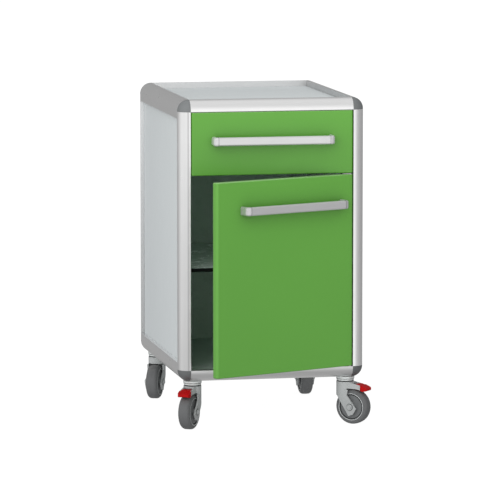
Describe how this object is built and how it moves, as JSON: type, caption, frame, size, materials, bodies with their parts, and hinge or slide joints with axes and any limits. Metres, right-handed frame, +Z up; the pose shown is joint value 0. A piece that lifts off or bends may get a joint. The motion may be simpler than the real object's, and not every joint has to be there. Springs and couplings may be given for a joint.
{
  "type": "bedside cabinet",
  "caption": "Ward bedside cabinet: aluminium frame with pale panels, a drawer over a hinged-door cupboard with shelf, bow handles, on swivel casters with brake pedals.",
  "frame": {"origin": "on the floor, under the centre of the frame, in the plane the tyres stand on", "axes": "+X to the right seen from the front, +Y to the back (drawer and door face -Y), +Z up"},
  "size_m": [0.4219, 0.63, 0.7],
  "materials": {
    "aluminium_anodised": "fine matt, anodised",
    "cap_grey": "moulded, fine texture",
    "panel_grey": "compact laminate, satin",
    "interior_pale": "pale grey lining, half gloss",
    "shelf_pale": "pale laminate with a black front edge",
    "front_green": "foil-wrapped board, silk gloss",
    "handle_silver": "satin anodised bar",
    "handle_end": "silver-painted moulding",
    "steel_zinc": "zinc plated",
    "tray_steel": "pale grey powder coat",
    "bush_white": "plain bearing plastic",
    "magnet_brown": "moulded housing",
    "fork_grey": "glass-filled nylon, satin",
    "seal_black": "matt black ring",
    "hub_grey": "moulded wheel centre",
    "tyre_grey": "non-marking grey tread",
    "pedal_red": "moulded red tread"
  },
  "bodies": {
    "cabinet": {"post_front_left": "aluminium_anodised", "post_front_right": "aluminium_anodised", "post_rear_left": "aluminium_anodised", "post_rear_right": "aluminium_anodised", "rail_top_left": "aluminium_anodised", "rail_top_right": "aluminium_anodised", "rail_top_front": "aluminium_anodised", "rail_top_rear": "aluminium_anodised", "rail_bottom_left": "aluminium_anodised", "rail_bottom_right": "aluminium_anodised", "rail_bottom_front": "aluminium_anodised", "rail_bottom_rear": "aluminium_anodised", "corner_caps": "cap_grey", "side_panel_left": "panel_grey", "side_panel_right": "panel_grey", "back_panel": "panel_grey", "top_panel": "panel_grey", "bottom_panel": "interior_pale", "inner_liner": "interior_pale", "divider_panel": "interior_pale", "shelf": "shelf_pale", "shelf_pins": "steel_zinc", "slide_outer_members": "steel_zinc", "door_pivots": "steel_zinc", "magnet_catch": "magnet_brown", "base_gussets": "steel_zinc", "gusset_screws": "steel_zinc", "caster_plates": "fork_grey", "caster_kingpins": "steel_zinc", "swivel_seals": "seal_black"},
    "drawer": {"drawer_front": "front_green", "drawer_tray": "tray_steel", "drawer_handle_bar": "handle_silver", "drawer_handle_ends": "handle_end", "drawer_handle_screws": "steel_zinc", "slide_inner_members": "steel_zinc"},
    "slides": {"slide_middle_members": "steel_zinc"},
    "door": {"door_panel": "front_green", "door_handle_bar": "handle_silver", "door_handle_ends": "handle_end", "door_handle_screws": "steel_zinc", "door_bushes": "bush_white"},
    "swivel_front_left": {"fork_front_left": "fork_grey", "axle_front_left": "steel_zinc"},
    "wheel_front_left": {"hub_front_left": "hub_grey", "tyre_front_left": "tyre_grey"},
    "pedal_front_left": {"brake_pedal_front_left": "pedal_red"},
    "swivel_front_right": {"fork_front_right": "fork_grey", "axle_front_right": "steel_zinc"},
    "wheel_front_right": {"hub_front_right": "hub_grey", "tyre_front_right": "tyre_grey"},
    "pedal_front_right": {"brake_pedal_front_right": "pedal_red"},
    "swivel_rear_left": {"fork_rear_left": "fork_grey", "axle_rear_left": "steel_zinc"},
    "wheel_rear_left": {"hub_rear_left": "hub_grey", "tyre_rear_left": "tyre_grey"},
    "swivel_rear_right": {"fork_rear_right": "fork_grey", "axle_rear_right": "steel_zinc"},
    "wheel_rear_right": {"hub_rear_right": "hub_grey", "tyre_rear_right": "tyre_grey"}
  },
  "joints": [
    {"name": "drawer_slide", "type": "slide", "parent": "cabinet", "child": "drawer", "axis": [0, -1, 0], "range_m": [0, 0.38]},
    {"name": "slides_follow", "type": "slide", "parent": "cabinet", "child": "slides", "axis": [0, -1, 0], "range_m": [0, 0.19]},
    {"name": "door_hinge", "type": "hinge", "parent": "cabinet", "child": "door", "pos_m": [0.168, -0.244, 0.333], "axis": [0, 0, 1], "range_deg": [-22.67, 72.33]},
    {"name": "swivel_front_left_turn", "type": "hinge", "parent": "cabinet", "child": "swivel_front_left", "pos_m": [-0.166, -0.215, 0.0908], "axis": [0, 0, 1], "continuous": true},
    {"name": "wheel_front_left_roll", "type": "hinge", "parent": "swivel_front_left", "child": "wheel_front_left", "pos_m": [-0.17639, -0.23209, 0.0375], "axis": [0.8545, -0.5195, 0], "continuous": true},
    {"name": "pedal_front_left_press", "type": "hinge", "parent": "swivel_front_left", "child": "pedal_front_left", "pos_m": [-0.1793, -0.23687, 0.0798], "axis": [0.8545, -0.5195, 0], "range_deg": [0, 10]},
    {"name": "swivel_front_right_turn", "type": "hinge", "parent": "cabinet", "child": "swivel_front_right", "pos_m": [0.166, -0.215, 0.0908], "axis": [0, 0, 1], "continuous": true},
    {"name": "wheel_front_right_roll", "type": "hinge", "parent": "swivel_front_right", "child": "wheel_front_right", "pos_m": [0.18148, -0.22767, 0.0375], "axis": [0.6334, 0.7738, 0], "continuous": true},
    {"name": "pedal_front_right_press", "type": "hinge", "parent": "swivel_front_right", "child": "pedal_front_right", "pos_m": [0.18581, -0.23121, 0.0798], "axis": [0.6334, 0.7738, 0], "range_deg": [0, 10]},
    {"name": "swivel_rear_left_turn", "type": "hinge", "parent": "cabinet", "child": "swivel_rear_left", "pos_m": [-0.166, 0.215, 0.0908], "axis": [0, 0, 1], "continuous": true},
    {"name": "wheel_rear_left_roll", "type": "hinge", "parent": "swivel_rear_left", "child": "wheel_rear_left", "pos_m": [-0.17423, 0.19677, 0.0375], "axis": [0.9114, -0.4115, 0], "continuous": true},
    {"name": "swivel_rear_right_turn", "type": "hinge", "parent": "cabinet", "child": "swivel_rear_right", "pos_m": [0.166, 0.215, 0.0908], "axis": [0, 0, 1], "continuous": true},
    {"name": "wheel_rear_right_roll", "type": "hinge", "parent": "swivel_rear_right", "child": "wheel_rear_right", "pos_m": [0.16565, 0.195, 0.0375], "axis": [0.9998, -0.0175, 0], "continuous": true}
  ],
  "couplings": [
    {"joint": "slides_follow", "follows": "drawer_slide", "ratio": 0.5}
  ]
}
